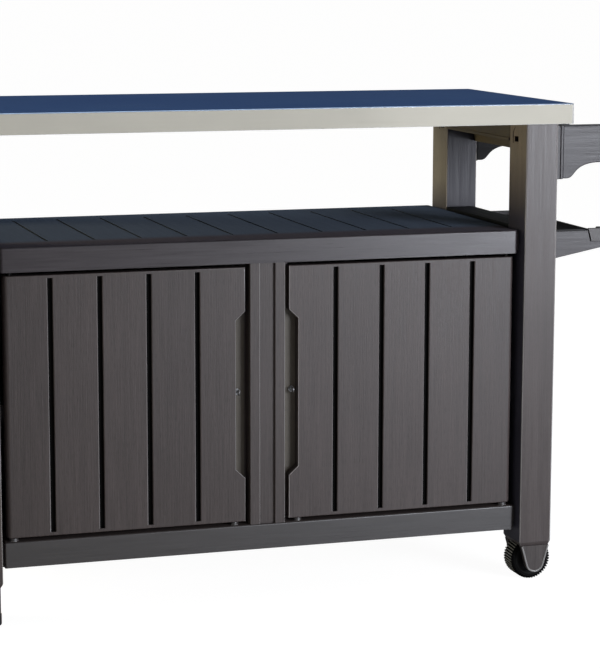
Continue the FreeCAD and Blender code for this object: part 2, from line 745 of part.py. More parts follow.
def arm_outline():
    """Handle arm seen from the front: deep at the root, an S-curve, then an even bar with a round end."""
    under = arm_top - arm_height
    start_x = socket_end_x
    end_x = worktop_length / 2
    flat_end_x = end_x + 2.5
    s_mid_x = end_x + 22.5
    s_mid_z = (arm_root_bottom + under) / 2
    s_end_x = end_x + 69.0
    tip_x = end_x + arm_reach
    y = arm_front_y

    def at(x, z):
        return FreeCAD.Vector(middle_x + x, y, z)

    def curve(*poles):
        bend = Part.BezierCurve()
        bend.setPoles([at(x, z) for x, z in poles])
        return bend.toShape()

    edges = [
        Part.LineSegment(at(start_x, arm_top), at(start_x, arm_root_bottom)).toShape(),
        Part.LineSegment(at(start_x, arm_root_bottom), at(flat_end_x, arm_root_bottom)).toShape(),
        curve((flat_end_x, arm_root_bottom), (flat_end_x + 10, arm_root_bottom),
              (s_mid_x - 7, s_mid_z - 7), (s_mid_x, s_mid_z)),
        curve((s_mid_x, s_mid_z), (s_mid_x + 9, s_mid_z + 9), (s_mid_x + 24, under), (s_end_x, under)),
        Part.LineSegment(at(s_end_x, under), at(bar_x, under)).toShape(),
        Part.Arc(at(bar_x, under), at(tip_x, bar_z), at(bar_x, arm_top)).toShape(),
        Part.LineSegment(at(bar_x, arm_top), at(start_x, arm_top)).toShape(),
    ]
    return Part.Wire(edges)


def handle_arm_front():
    """Front handle arm, with a slot open at the top that the bar's end drops into."""
    edge = 2.0
    slot_depth = 13.0
    slot_radius = bar_pin_radius + bar_pin_gap
    arm = Part.Face(arm_outline()).extrude(FreeCAD.Vector(0, arm_thickness, 0))
    rim = [e for e in arm.Edges
           if e.BoundBox.YLength < 0.01 and e.BoundBox.XMax > middle_x + socket_end_x + 1]
    arm = arm.makeFillet(edge, rim)
    slot = joined(
        rod(slot_radius, slot_depth + 1, bar_x, arm_inner_y - slot_depth, bar_z, Y_AXIS),
        box(bar_x - slot_radius, bar_x + slot_radius, arm_inner_y - slot_depth, arm_inner_y + 1,
            bar_z, arm_top + 1),
    )
    arm = arm.cut(slot)
    for z in arm_bolt_heights:
        arm = arm.cut(rod(arm_bolt_radius, 30, socket_end_x - 1, arm_bolt_y, z, X_AXIS))
    return arm


def arm_socket_front():
    """Foot of the front arm: two collars round a neck, set off from the leg and arm by fine grooves."""
    proud = 1.0
    neck_inset = 2.0
    front = arm_front_y - proud
    back = arm_inner_y + proud
    bottom = arm_root_bottom - proud
    socket = box(leg_outer_x, socket_end_x, front + neck_inset, back - neck_inset,
                 bottom + neck_inset, arm_top - neck_inset)
    for start, end in ((leg_outer_x, leg_outer_x + 9.0), (leg_outer_x + 11.0, socket_end_x - joint_groove)):
        collar = box(start, end, front, back, bottom, arm_top)
        collar = collar.makeFillet(0.8, [e for e in collar.Edges if e.BoundBox.XLength < 0.01])
        socket = joined(socket, collar)
    for z in arm_bolt_heights:
        socket = socket.cut(rod(arm_bolt_radius, 20, leg_outer_x - 1, arm_bolt_y, z, X_AXIS))
    return socket


def arm_bolts():
    """Four bolts from inside the right-hand legs into the handle arms."""
    head = 4.0
    bolts = []
    for z in arm_bolt_heights:
        start = leg_outer_x - leg_wall
        bolt = joined(rod(5.5, head, start - head, arm_bolt_y, z, X_AXIS),
                      rod(arm_bolt_radius, 40, start - 1, arm_bolt_y, z, X_AXIS))
        bolts += [bolt, mirrored_y(bolt)]
    return Part.makeCompound(bolts)


def towel_bar():
    """Tube between the arms. It is the handle, and lifts out to take a paper roll."""
    end_gap = 1.0
    wall = 2.0
    half = -arm_inner_y - end_gap
    tube = rod(bar_radius, 2 * half, bar_x, -half, bar_z, Y_AXIS)
    return tube.cut(rod(bar_radius - wall, 2 * half + 2, bar_x, -half - 1, bar_z, Y_AXIS))


def bar_end_plugs():
    """A stepped plug in each end of the bar, whose pin sits in the arm's slot."""
    end_gap = 1.0
    wall = 2.0
    plug_in = 20.0
    pin_length = 12.0
    half = -arm_inner_y - end_gap
    inner = rod(bar_radius - wall, plug_in, bar_x, -half, bar_z, Y_AXIS)
    pin = rod(bar_pin_radius, pin_length + 1, bar_x, -half - pin_length, bar_z, Y_AXIS)
    pin = pin.makeChamfer(1.0, pin.Edges[2:3])
    plug = joined(inner, pin)
    return Part.makeCompound([plug, mirrored_y(plug)])


# Tray

tray_front_y = leg_front_y + 55.0
tray_inner_y = tray_front_y + tray_bracket_thickness
tray_root_bottom = 601.6
tray_slope = 0.19
tray_tip_x = leg_outer_x + tray_reach
notch_top_x = leg_outer_x + 88.0
notch_low_x = notch_top_x + 6.0
notch_z = 635.8
tray_rail_inner_top = 658.5
tray_rail_outer_top = 647.0
tray_rail_end_top = 660.3
tray_rail_wall = 3.5
tray_floor_top = 625.0
tray_floor_thickness = 4.0
tray_floor_end_x = notch_top_x - 2.0
tray_tab_reach = 5.0
tray_screw_radius = 2.0
tray_screw_heights = (618.0, 645.0)
tray_screw_y = tray_front_y + tray_bracket_thickness / 2


def tray_tabs(side):
    """The two tabs at one end of the tray's floor that sit in pockets of a bracket."""
    bottom = tray_floor_top - tray_floor_thickness
    return [box(leg_outer_x + start, leg_outer_x + start + 20, side * (tray_inner_y + 1),
                side * (tray_inner_y - tray_tab_reach), bottom, tray_floor_top) for start in (14.0, 54.0)]


def tray_bracket_front():
    """Tapered bracket on the front leg, notched at its outer end for the tray's rail."""
    tip_bottom = tray_root_bottom + tray_slope * tray_reach
    bracket = prism([
        (leg_outer_x, tray_root_bottom), (tray_tip_x, tip_bottom), (tray_tip_x, notch_z),
        (notch_low_x, notch_z), (notch_top_x, tray_top), (leg_outer_x, tray_top),
    ], tray_front_y, tray_inner_y)
    tip = [e for e in bracket.Edges if e.BoundBox.XMin > middle_x + tray_tip_x - 0.01
           and e.BoundBox.ZLength < 0.01]
    bracket = bracket.makeFillet(4.0, tip)
    rim = [e for e in bracket.Edges
           if e.BoundBox.YLength < 0.01 and e.BoundBox.XMax > middle_x + leg_outer_x + 1]
    bracket = bracket.makeFillet(1.2, rim)
    for tab in tray_tabs(1):
        bracket = bracket.cut(tab)
    for z in tray_screw_heights:
        bracket = bracket.cut(rod(tray_screw_radius, 18, leg_outer_x - 1, tray_screw_y, z, X_AXIS))
    return bracket


def tray_floor():
    """Flat tray between the two brackets, with two tabs at each end and a short upstand below the rail."""
    bottom = tray_floor_top - tray_floor_thickness
    deck = box(leg_outer_x, tray_floor_end_x, tray_inner_y, -tray_inner_y, bottom, tray_floor_top)
    upstand = box(tray_floor_end_x - 3.0, tray_floor_end_x, tray_inner_y, -tray_inner_y,
                  bottom, tray_floor_top + 8.0)
    lug = box(side_rail_outer_x, leg_outer_x + 1, leg_back_y, -leg_back_y, bottom, tray_floor_top)
    return joined(deck, upstand, lug, *(tray_tabs(1) + [mirrored_y(tab) for tab in tray_tabs(1)]))


def tray_rail():
    """Outer rail of the tray: a narrow trough that sits in the brackets' notches.

    Its inner wall leans like the notches and stands higher than its outer one, and a plate closes each end.
    """
    gap = 2.0
    end_plate = 6.0
    outer_x = tray_tip_x - 5.0
    floor_top = notch_z + tray_rail_wall
    lean = (notch_low_x - notch_top_x) / (tray_top - notch_z)
    low_x = notch_low_x + gap
    inner_top_x = low_x - lean * (tray_rail_inner_top - notch_z)
    end_top_x = low_x - lean * (tray_rail_end_top - notch_z)
    trough = prism([
        (low_x, notch_z), (outer_x, notch_z), (outer_x, tray_rail_outer_top),
        (outer_x - tray_rail_wall, tray_rail_outer_top), (outer_x - tray_rail_wall, floor_top),
        (low_x + tray_rail_wall, floor_top), (inner_top_x + tray_rail_wall, tray_rail_inner_top),
        (inner_top_x, tray_rail_inner_top),
    ], tray_front_y + 1, -tray_front_y - 1)
    plate = prism([
        (low_x, notch_z), (outer_x, notch_z), (outer_x, tray_rail_end_top), (end_top_x, tray_rail_end_top),
    ], tray_front_y, tray_front_y + end_plate)
    plate = plate.makeFillet(1.5, level_edges(plate, tray_rail_end_top))
    return joined(trough, plate, mirrored_y(plate))


def tray_rail_pegs():
    """A round peg at each end of the trough that pins it down on its bracket."""
    radius = 5.5
    height = 22.0
    peg = rod(radius, height, notch_low_x + 21.5, tray_front_y + 13.0, notch_z + tray_rail_wall, Z_AXIS)
    peg = peg.makeFillet(1.2, level_edges(peg, notch_z + tray_rail_wall + height))
    return Part.makeCompound([peg, mirrored_y(peg)])


def tray_screws():
    """Four screws from inside the right-hand legs into the roots of the tray's brackets."""
    head_height = 3.0
    screws = []
    start = leg_outer_x - leg_wall
    for z in tray_screw_heights:
        head = rod(4.0, head_height, start - head_height, tray_screw_y, z, X_AXIS)
        screw = joined(head, rod(tray_screw_radius, leg_wall + 17, start - 1, tray_screw_y, z, X_AXIS))
        screws += [screw, mirrored_y(screw)]
    return Part.makeCompound(screws)


def save_pair(name, shape, name_of_mirror, mirror):
    """Writes a piece and its mirror image, which are separate nodes."""
    save(name, shape)
    save(name_of_mirror, mirror(shape))


def build():
    """Makes every sub-part of the cart."""
    os.makedirs("parts", exist_ok=True)
    save("worktop_skin", worktop_skin())
    save("worktop_core", worktop_core())
    save("worktop_screws", worktop_screws())
    plain_leg = leg_body()
    save("leg_left_front", mirrored_x(plain_leg))
    save("leg_left_back", mirrored_y(mirrored_x(plain_leg)))
    save_pair("leg_right_front", leg_right_front(), "leg_right_back", mirrored_y)
    save_pair("apron_right", apron_right(), "apron_left", mirrored_x)
    save_pair("side_rail_upper_right", channel_rail_right(side_rail_bottom, side_rail_top),
              "side_rail_upper_left", mirrored_x)
    save_pair("side_rail_lower_right", channel_rail_right(floor_height - floor_lip, floor_height),
              "side_rail_lower_left", mirrored_x)
    save_pair("side_panel_right", side_panel_right(), "side_panel_left", mirrored_x)
    save("cabinet_top", cabinet_top())
    save("cabinet_floor", cabinet_floor())
    save("back_panel", back_panel())
    save("centre_post", centre_post())
    save("interior_shelf", interior_shelf())
    save("shelf_cleats", shelf_cleats())
    save_pair("door_front_right", door_front_right(), "door_front_left", mirrored_x)
    save_pair("door_back_right", door_back_right(), "door_back_left", mirrored_x)
    save_pair("door_screws_right", door_screws_right(), "door_screws_left", mirrored_x)
    save_pair("hinge_pins_right", hinge_pins_right(), "hinge_pins_left", mirrored_x)
    save_pair("lock_eye_right", lock_eye_right(), "lock_eye_left", mirrored_x)
    save_pair("tyre_front", tyre(), "tyre_back", mirrored_y)
    save_pair("wheel_hub_front", hub(), "wheel_hub_back", mirrored_y)
    save_pair("axle_front", axle(), "axle_back", mirrored_y)
    save_pair("fork_cap_front", fork_cap(), "fork_cap_back", mirrored_y)
    save_pair("foot_cap_front", mirrored_x(foot_cap()), "foot_cap_back", mirrored_y)
    save_pair("foot_pad_front", mirrored_x(foot_pad()), "foot_pad_back", mirrored_y)
    save_pair("handle_arm_front", handle_arm_front(), "handle_arm_back", mirrored_y)
    save_pair("arm_socket_front", arm_socket_front(), "arm_socket_back", mirrored_y)
    save("arm_bolts", arm_bolts())
    save("towel_bar", towel_bar())
    save("bar_end_plugs", bar_end_plugs())
    save_pair("tray_bracket_front", tray_bracket_front(), "tray_bracket_back", mirrored_y)
    save("tray_floor", tray_floor())
    save("tray_rail", tray_rail())
    save("tray_rail_pegs", tray_rail_pegs())
    save("tray_screws", tray_screws())


build()
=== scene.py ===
import math

import bmesh
import bpy
from mathutils import Matrix, Vector


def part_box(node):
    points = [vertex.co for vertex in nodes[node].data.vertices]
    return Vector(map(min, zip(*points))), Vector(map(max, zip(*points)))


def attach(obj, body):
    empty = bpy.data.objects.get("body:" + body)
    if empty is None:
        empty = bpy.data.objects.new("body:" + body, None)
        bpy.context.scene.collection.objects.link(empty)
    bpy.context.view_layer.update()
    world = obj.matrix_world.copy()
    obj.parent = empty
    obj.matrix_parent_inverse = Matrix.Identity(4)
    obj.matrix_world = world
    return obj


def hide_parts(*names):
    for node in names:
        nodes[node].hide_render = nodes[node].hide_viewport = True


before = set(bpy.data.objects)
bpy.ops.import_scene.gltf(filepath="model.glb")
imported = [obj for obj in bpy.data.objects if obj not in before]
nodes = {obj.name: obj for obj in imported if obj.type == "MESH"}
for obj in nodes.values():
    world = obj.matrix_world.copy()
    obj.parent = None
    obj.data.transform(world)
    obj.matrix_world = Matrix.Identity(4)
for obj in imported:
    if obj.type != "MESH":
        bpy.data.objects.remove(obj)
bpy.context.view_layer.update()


# Camera.
# It stands in front of the cart, to its left and above the worktop, as in the photograph. Its place, its
# turns and its lens were solved from edges of the cart that can be read on the picture.
camera_place = (-1.2527, -4.0548, 1.1468)
turned_right = math.radians(17.5885)
tilted_down = math.radians(9.2513)
leaning = math.radians(0.1155)
focal_length = 121.79
nearest = 0.05
farthest = 900


def camera_axes(turn, tilt, lean):
    """The axes of a camera that looks along +Y, turned to the right, tilted down and leaning a trace."""
    right = Vector((math.cos(turn), -math.sin(turn), 0))
    ahead = Vector((math.sin(turn) * math.cos(tilt), math.cos(turn) * math.cos(tilt), -math.sin(tilt)))
    up = right.cross(ahead)
    leaning_right = right * math.cos(lean) + up * math.sin(lean)
    leaning_up = up * math.cos(lean) - right * math.sin(lean)
    return Matrix((leaning_right, leaning_up, -ahead)).transposed()


camera = bpy.data.objects.new("camera", bpy.data.cameras.new("camera"))
bpy.context.scene.collection.objects.link(camera)
bpy.context.scene.camera = camera
camera.data.lens = focal_length
camera.data.clip_start = nearest
camera.data.clip_end = farthest
camera.matrix_world = (Matrix.Translation(camera_place)
                       @ camera_axes(turned_right, tilted_down, leaning).to_4x4())
bpy.context.scene.view_settings.view_transform = "Standard"


# Lamps.
# One large soft box at the right gives the light that fades towards the left. A warm one stands at the
# left, a blue one hangs above as a sky for the top and the shelf to mirror, and two more are weak fill. The
# top and the shelf also carry a painted blue reflection in their colours.
def soft_box(name, place, aim, width, depth, power, colour):
    """A soft box that faces the point it is aimed at."""
    lamp = bpy.data.lights.new(name, "AREA")
    lamp.shape = "RECTANGLE"
    lamp.size = width
    lamp.size_y = depth
    lamp.energy = power
    lamp.color = colour
    holder = bpy.data.objects.new(name, lamp)
    holder.location = place
    holder.rotation_euler = (Vector(aim) - Vector(place)).to_track_quat("-Z", "Y").to_euler()
    bpy.context.scene.collection.objects.link(holder)


soft_box("window_at_right", place=(1.95, -3.1, 0.90), aim=(0.40, -0.2, 0.70),
         width=1.3, depth=1.2, power=94, colour=(0.88, 0.92, 1.0))
soft_box("fill_in_front", place=(-1.0, -4.6, 2.6), aim=(-0.2, 0.0, 0.5),
         width=2.6, depth=1.6, power=3, colour=(1.0, 0.93, 0.85))
soft_box("fill_from_left", place=(-3.2, 0.45, 1.0), aim=(0.4, 0.1, 0.7),
         width=1.3, depth=1.6, power=75, colour=(1.0, 0.86, 0.62))
soft_box("fill_behind", place=(3.8, 2.6, 0.80), aim=(0.1, 0.3, 0.45),
         width=1.6, depth=1.0, power=30, colour=(1.0, 0.96, 0.92))
soft_box("sky_above", place=(0.2, 0.8, 3.2), aim=(0.0, 0.0, 0.6),
         width=3.0, depth=2.4, power=30, colour=(0.50, 0.74, 1.0))


# White room and ground.
# The camera sees a plain white wall and a white ground with the cart's shadow on it. The light that the
# wall gives to the cart is much dimmer than the white that the camera sees.
wall_tone = (1.0, 0.98, 0.95)
wall_strength = 0.19
ground_reach = 400.0
ground_tone = 0.60
glow_strength = 1.46
glow_share = 0.65

room = bpy.data.worlds.new("room")
bpy.context.scene.world = room
room.use_nodes = True
tree = room.node_tree
tree.nodes.clear()
seen = tree.nodes.new("ShaderNodeLightPath")
wall_light = tree.nodes.new("ShaderNodeBackground")
wall_light.inputs["Color"].default_value = (*wall_tone, 1)
wall_light.inputs["Strength"].default_value = wall_strength
wall_white = tree.nodes.new("ShaderNodeBackground")
wall_white.inputs["Color"].default_value = (1, 1, 1, 1)
room_mix = tree.nodes.new("ShaderNodeMixShader")
room_out = tree.nodes.new("ShaderNodeOutputWorld")
tree.links.new(seen.outputs["Is Camera Ray"], room_mix.inputs[0])
tree.links.new(wall_light.outputs[0], room_mix.inputs[1])
tree.links.new(wall_white.outputs[0], room_mix.inputs[2])
tree.links.new(room_mix.outputs[0], room_out.inputs[0])

ground_mesh = bpy.data.meshes.new("ground")
ground_mesh.from_pydata([(-ground_reach, -ground_reach, 0), (ground_reach, -ground_reach, 0),
                         (ground_reach, ground_reach, 0), (-ground_reach, ground_reach, 0)],
                        [], [(0, 1, 2, 3)])
ground = bpy.data.objects.new("ground", ground_mesh)
bpy.context.scene.collection.objects.link(ground)
white_ground = bpy.data.materials.new("white_ground")
white_ground.use_nodes = True
tree = white_ground.node_tree
tree.nodes.clear()
seen = tree.nodes.new("ShaderNodeLightPath")
matt_white = tree.nodes.new("ShaderNodeBsdfDiffuse")
matt_white.inputs["Color"].default_value = (ground_tone, ground_tone, ground_tone, 1)
lit_white = tree.nodes.new("ShaderNodeEmission")
lit_white.inputs["Strength"].default_value = glow_strength
share = tree.nodes.new("ShaderNodeMath")
share.operation = "MULTIPLY"
share.inputs[1].default_value = glow_share
ground_mix = tree.nodes.new("ShaderNodeMixShader")
ground_out = tree.nodes.new("ShaderNodeOutputMaterial")
tree.links.new(seen.outputs["Is Camera Ray"], share.inputs[0])
tree.links.new(share.outputs[0], ground_mix.inputs[0])
tree.links.new(matt_white.outputs[0], ground_mix.inputs[1])
tree.links.new(lit_white.outputs[0], ground_mix.inputs[2])
tree.links.new(ground_mix.outputs[0], ground_out.inputs[0])
ground_mesh.materials.append(white_ground)


# Worktop sheet.
# A brushed stainless sheet folded down on all four sides. The top is polished, and the dark blue of a
# mirrored sky is painted into its colour and into its tint at a flat angle, as a painted reflection. The
# lip is satin with its brushing along the edge, and the bends and corners carry a pale painted highlight.
def new_finish(name):
    """Starts a finish: its material, its shader tree, its body shader and the place on the piece."""
    material = bpy.data.materials.new(name)
    material.use_nodes = True
    tree = material.node_tree
    place = tree.nodes.new("ShaderNodeTexCoord").outputs["Object"]
    return material, tree, tree.nodes["Principled BSDF"], place


def noise(tree, place, scale, detail):
    """Cloudy noise over the piece, with its values round one half."""
    texture = tree.nodes.new("ShaderNodeTexNoise")
    texture.inputs["Scale"].default_value = scale
    texture.inputs["Detail"].default_value = detail
    tree.links.new(place, texture.inputs["Vector"])
    return texture.outputs["Fac"]


def streaky(tree, place, grain_axis, across, along, detail):
    """Noise drawn out along the grain, with so many changes to the metre across it and along it."""
    mapping = tree.nodes.new("ShaderNodeMapping")
    scale = [across] * 3
    scale["XYZ".index(grain_axis)] = along
    mapping.inputs["Scale"].default_value = scale
    tree.links.new(place, mapping.inputs["Vector"])
    return noise(tree, mapping.outputs["Vector"], 1.0, detail)


def spread(tree, value, out_low, out_high, low=0.3, high=0.7):
    """Spreads a value over a new range. Most of a noise lies between the given low and high."""
    levels = tree.nodes.new("ShaderNodeMapRange")
    levels.inputs["From Min"].default_value = low
    levels.inputs["From Max"].default_value = high
    levels.inputs["To Min"].default_value = out_low
    levels.inputs["To Max"].default_value = out_high
    tree.links.new(value, levels.inputs["Value"])
    return levels.outputs["Result"]


def two_tones(tree, share, first, second):
    """A colour between two tones, by the share of the second one."""
    mix = tree.nodes.new("ShaderNodeMix")
    mix.data_type = "RGBA"
    mix.inputs[6].default_value = (*first, 1)
    mix.inputs[7].default_value = (*second, 1)
    tree.links.new(share, mix.inputs[0])
    return mix.outputs[2]


def press(tree, body, relief, strength, depth):
    """Presses a relief into the surface of a finish."""
    bump = tree.nodes.new("ShaderNodeBump")
    bump.inputs["Strength"].default_value = strength
    bump.inputs["Distance"].default_value = depth
    tree.links.new(relief, bump.inputs["Height"])
    tree.links.new(bump.outputs["Normal"], body.inputs["Normal"])


def brushed_steel(name, colour, edge_colour, rough, brush_axis, smear_colour=None, metal=1.0):
    """Stainless sheet with fine brushing along one axis and faint smears of a second tone.

    The edge colour tints its reflection at a flat angle; on the top it is a painted blue sky reflection.
    Less metal makes it satin.
    """
    brush_across = 900.0
    brush_along = 5.0
    smear_scale = 3.0
    fine_detail = 3.0
    darker = 0.90
    lighter = 1.08
    rough_swing = 0.08
    scratch_strength = 0.12
    scratch_depth = 0.0002
    material, tree, body, place = new_finish(name)
    body.inputs["Metallic"].default_value = metal
    body.inputs["Specular Tint"].default_value = (*edge_colour, 1)
    brushing = streaky(tree, place, brush_axis, brush_across, brush_along, fine_detail)
    smears = spread(tree, noise(tree, place, smear_scale, fine_detail), 0.0, 1.0)
    dark_tone = [darker * c for c in colour]
    light_tone = smear_colour or [lighter * c for c in colour]
    tree.links.new(two_tones(tree, smears, dark_tone, light_tone), body.inputs["Base Color"])
    dullness = spread(tree, brushing, rough - rough_swing, rough + rough_swing, low=0.0, high=1.0)
    tree.links.new(dullness, body.inputs["Roughness"])
    press(tree, body, brushing, scratch_strength, scratch_depth)
    return material


def dress(name, *materials):
    """Gives a CAD node its materials. The first one covers it."""
    mesh = nodes[name].data
    mesh.materials.clear()
    for material in materials:
        mesh.materials.append(material)
    for face in mesh.polygons:
        face.material_index = 0
    return mesh


def mark(mesh, material, chosen):
    """Gives another of a mesh's materials to the faces that a test picks, from centre and normal."""
    index = mesh.materials.find(material.name)
    for face in mesh.polygons:
        if chosen(face.center, face.normal):
            face.material_index = index


def soften(name, width, highlight_material=None):
    """Rounds a node's arrises, in a material with a painted highlight if one is given.

    Loose corners are welded and flat faces joined first, so that the bevel runs clean.
    """
    piece = nodes[name]
    weld = piece.modifiers.new("welded_corners", "WELD")
    weld.merge_threshold = 0.00001
    flat = piece.modifiers.new("flat_faces", "DECIMATE")
    flat.decimate_type = "DISSOLVE"
    flat.angle_limit = math.radians(0.4)
    flat.delimit = {"MATERIAL"}
    bevel = piece.modifiers.new("soft_arris", "BEVEL")
    bevel.width = width
    bevel.segments = 2
    bevel.limit_method = "ANGLE"
    bevel.angle_limit = math.radians(40)
    bevel.harden_normals = True
    if highlight_material:
        piece.data.materials.append(highlight_material)
        bevel.material = len(piece.data.materials) - 1


lip_steel = brushed_steel("lip_steel", (0.53, 0.505, 0.435), (0.8, 0.8, 0.76), 0.66, "X", metal=0.45)
# The top's blue base, its smears and its flat-angle tint are a painted reflection of a dark blue sky.
top_sky_painted_steel = brushed_steel("top_sky_painted_steel", (0.17, 0.25, 0.38), (0.040, 0.245, 0.790), 0.30, "X",
                          smear_colour=(0.21, 0.28, 0.38))
# Paler, brighter steel for the bends and the corner arrises: a painted highlight.
bend_painted_highlight_steel = brushed_steel("bend_painted_highlight_steel", (0.78, 0.84, 0.95), (1, 1, 1), 0.35, "X")
corner_painted_highlight_steel = brushed_steel("corner_painted_highlight_steel", (0.62, 0.62, 0.60), (0.95, 0.95, 0.94), 0.50, "X", metal=0.45)
plated = brushed_steel("plated_steel", (0.38, 0.38, 0.39), (1, 1, 1), 0.34, "Z")

sheet_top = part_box("worktop_skin")[1].z
flat_top = sheet_top - 0.0001
bend_foot = sheet_top - 0.002
level = 0.99
slanted = 0.2
sheet = dress("worktop_skin", lip_steel, top_sky_painted_steel, bend_painted_highlight_steel, corner_painted_highlight_steel)
mark(sheet, top_sky_painted_steel, lambda centre, normal: centre.z > flat_top and normal.z > level)
mark(sheet, bend_painted_highlight_steel, lambda centre, normal: bend_foot < centre.z < flat_top and normal.z > slanted)
mark(sheet, corner_painted_highlight_steel, lambda centre, normal: abs(normal.x) > slanted and abs(normal.y) > slanted
     and normal.z < slanted)
# The sheet's rounded arrises take the corner steel, a painted highlight.
soften("worktop_skin", 0.0008, corner_painted_highlight_steel)
dress("worktop_screws", plated)


# Deck under the sheet.
# A ribbed moulding that fills the sheet and takes the screws of the legs. It is the same resin as every
# other brown piece of the cart: dark, with a fine wood grain pressed into it along the piece.
def grained_resin(name, grain_axis, tone, rough, plank=0.0, plank_start=0.0, print_depth=1.0,
                  fade=None, painted_sheen=None, shine=0.5):
    """Dark resin with a pressed wood grain. Planks of the given pitch differ a little in tone.

    fade gives a second tone that takes over towards the front or the floor, its axis and the two places.
    painted_sheen gives the share of a painted sky reflection, a sheen that lights up at a flat angle, and
    its tints on both tones.
    """
    streak_tone = 0.15 * print_depth
    band_tone = 0.07
    cloud_tone = 0.05
    cloud_scale = 5.0
    plank_tone = 0.05
    pore_tone = 0.2 * print_depth
    pore_low, pore_high = 0.36, 0.50
    smoother, rougher = 0.06, 0.07
    sheen_roughness = 0.35
    streak_relief, pore_relief = 0.6, 0.5
    relief_strength = 0.45 * print_depth
    relief_depth = 0.0006
    material, tree, body, place = new_finish(name)
    body.inputs["Specular IOR Level"].default_value = shine

    def combined(operation, first, second=0.0):
        maths = tree.nodes.new("ShaderNodeMath")
        maths.operation = operation
        tree.links.new(first, maths.inputs[0])
        if isinstance(second, float):
            maths.inputs[1].default_value = second
        else:
            tree.links.new(second, maths.inputs[1])
        return maths.outputs[0]

    parts = tree.nodes.new("ShaderNodeSeparateXYZ")
    tree.links.new(place, parts.inputs[0])
    streaks = streaky(tree, place, grain_axis, across=420.0, along=9.0, detail=4.0)
    bands = streaky(tree, place, grain_axis, across=60.0, along=2.5, detail=2.0)
    pores = streaky(tree, place, grain_axis, across=1300.0, along=70.0, detail=3.0)
    clouds = noise(tree, place, cloud_scale, 2.0)
    shades = [spread(tree, streaks, 1.0 - streak_tone, 1.0 + streak_tone),
              spread(tree, bands, 1.0 - band_tone, 1.0 + band_tone),
              spread(tree, clouds, 1.0 - cloud_tone, 1.0 + cloud_tone),
              spread(tree, pores, 1.0 - pore_tone, 1.0, pore_low, pore_high)]
    if plank:
        from_start = combined("SUBTRACT", parts.outputs["X"], plank_start)
        number = combined("FLOOR", combined("MULTIPLY", from_start, 1.0 / plank))
        chance = tree.nodes.new("ShaderNodeTexWhiteNoise")
        chance.noise_dimensions = "1D"
        tree.links.new(number, chance.inputs["W"])
        shades.append(spread(tree, chance.outputs["Value"], 1.0 - plank_tone, 1.0 + plank_tone, 0.0, 1.0))
    shade = shades[0]
    for other in shades[1:]:
        shade = combined("MULTIPLY", shade, other)
    colour = tree.nodes.new("ShaderNodeMix")
    colour.data_type = "RGBA"
    colour.blend_type = "MULTIPLY"
    colour.inputs[0].default_value = 1.0
    colour.inputs[6].default_value = (*tone, 1)
    tree.links.new(shade, colour.inputs[7])
    tree.links.new(colour.outputs[2], body.inputs["Base Color"])
    if fade:
        second_tone, fade_axis, fade_start, fade_end = fade
        share = spread(tree, parts.outputs[fade_axis], 0.0, 1.0, fade_start, fade_end)
        tree.links.new(two_tones(tree, share, second_tone, tone), colour.inputs[6])
        if painted_sheen:
            sheen_share, tint, second_tint = painted_sheen
            body.inputs["Sheen Weight"].default_value = sheen_share
            body.inputs["Sheen Roughness"].default_value = sheen_roughness
            tree.links.new(two_tones(tree, share, second_tint, tint), body.inputs["Sheen Tint"])
    tree.links.new(spread(tree, streaks, rough - smoother, rough + rougher), body.inputs["Roughness"])
    relief = combined("ADD", combined("MULTIPLY", streaks, streak_relief),
                      combined("MULTIPLY", pores, pore_relief))
    press(tree, body, relief, relief_strength, relief_depth)
    return material


dress("worktop_core", grained_resin("deck_resin", "X", (0.050, 0.045, 0.045), rough=0.55))


# Legs and the frames between them.
# Hollow moulded posts with the grain upright and slightly rounded arrises. A deep apron under the worktop,
# two channel rails and a grooved side panel join the two posts at each end of the cart.
leg_resin = grained_resin("leg_resin", "Z", (0.090, 0.075, 0.072), rough=0.34, print_depth=0.6, shine=0.29)
# The back legs are painted much darker than the front ones: painted shade.
back_leg_painted_shade_resin = grained_resin("back_leg_painted_shade_resin", "Z", (0.034, 0.031, 0.042), rough=0.42, print_depth=0.6,
                               shine=0.3)

# The inner faces of the right legs are painted paler and browner, as painted light, and a painted shade
# darkens them towards the floor.
painted_shade_tone = (0.060, 0.057, 0.078)
painted_light_leg_sides = {}
for end, painted_light_tone, shade_low, shade_high in (("front", (0.38, 0.32, 0.235), 0.685, 0.810),
                                              ("back", (0.285, 0.262, 0.210), 0.640, 0.725)):
    painted_light_leg_sides[end] = grained_resin("leg_side_resin_" + end, "Z", painted_light_tone, rough=0.46,
                                         fade=(painted_shade_tone, "Z", shade_low, shade_high), shine=0.3)

# Pale, for rounded arrises and edges that turn to the light: a painted highlight.
arris_painted_highlight = grained_resin("arris_painted_highlight", "Z", (0.30, 0.28, 0.27), rough=0.28, print_depth=0.3)
cross_resin = grained_resin("cross_resin", "Y", (0.058, 0.050, 0.048), rough=0.42)
apron_painted_light_resin = grained_resin("apron_painted_light_resin", "Y", (0.160, 0.132, 0.078), rough=0.45)
# Near black for the rails' tops and inner faces: painted shade.
rail_top_painted_shade_resin = grained_resin("rail_top_painted_shade_resin", "Y", (0.012, 0.014, 0.015), rough=0.6, shine=0.1)
upright_resin = grained_resin("upright_resin", "Z", (0.067, 0.053, 0.050), rough=0.44)
# Near black for the floors and walls of grooves: painted shade.
groove_painted_shade_resin = grained_resin("groove_painted_shade_resin", "Z", (0.003, 0.0026, 0.0026), rough=0.7, shine=0.1)

